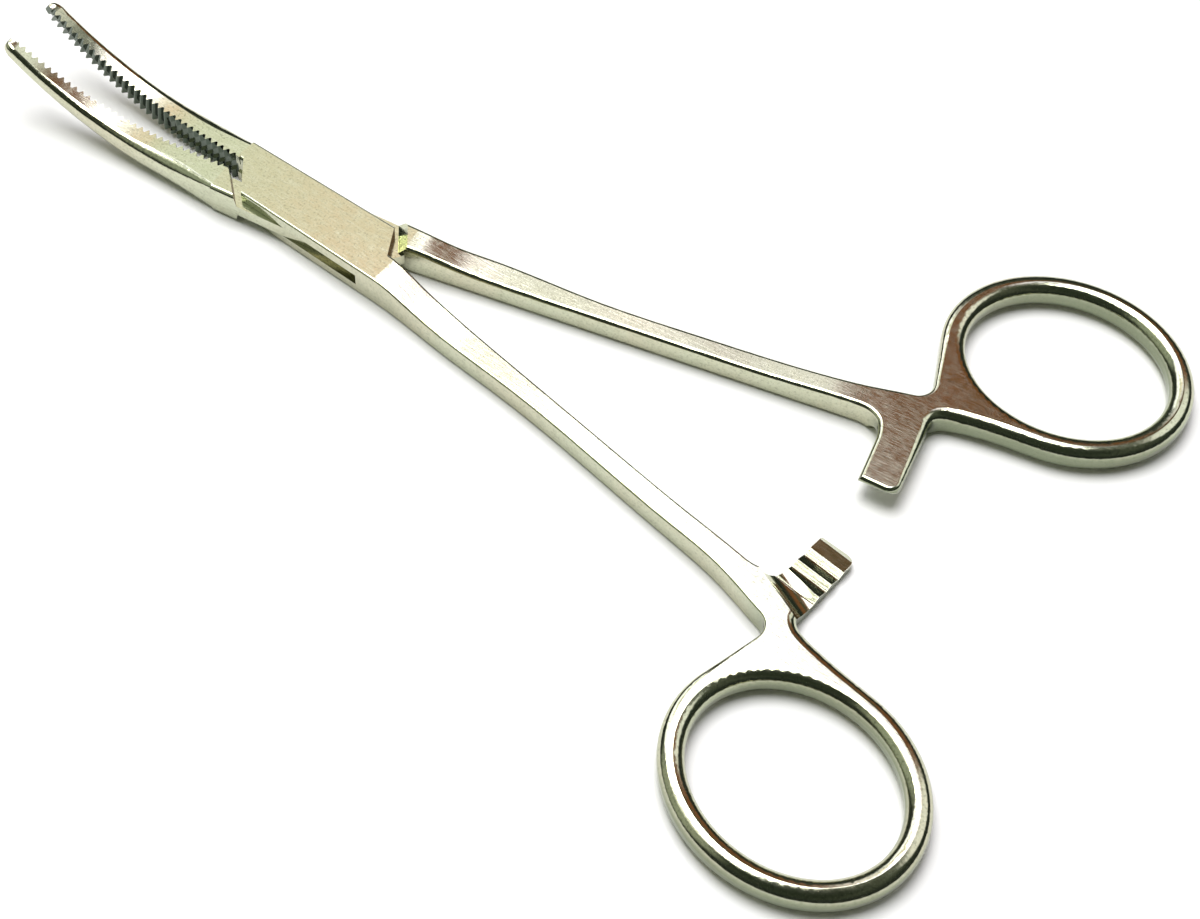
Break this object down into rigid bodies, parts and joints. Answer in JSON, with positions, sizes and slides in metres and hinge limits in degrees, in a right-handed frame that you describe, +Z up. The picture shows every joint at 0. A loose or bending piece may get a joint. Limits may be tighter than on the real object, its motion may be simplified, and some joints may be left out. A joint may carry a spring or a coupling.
{
  "type": "haemostatic forceps",
  "caption": "Curved haemostatic forceps with a box lock, cross-serrated jaws, stepped ratchet arms and oval finger rings, lying half open.",
  "frame": {"origin": "on the pivot axis, in the flat underside of the box lock that the forceps lie on", "axes": "+X from the pivot towards the finger rings, +Y towards the tongue half's ring, +Z up the pivot axis, the way the jaw tips curve"},
  "size_m": [0.139, 0.087, 0.0097],
  "materials": {
    "box_half_steel": "satin",
    "tongue_half_steel": "satin",
    "pin_steel": "satin"
  },
  "bodies": {
    "box_side": {"box_half": "box_half_steel", "pivot_pin": "pin_steel"},
    "tongue_side": {"tongue_half": "tongue_half_steel"}
  },
  "joints": [
    {"name": "box_lock", "type": "hinge", "parent": "box_side", "child": "tongue_side", "pos_m": [0, 0, 0.0021], "axis": [0, 0, 1], "range_deg": [-8.6, 60]}
  ]
}
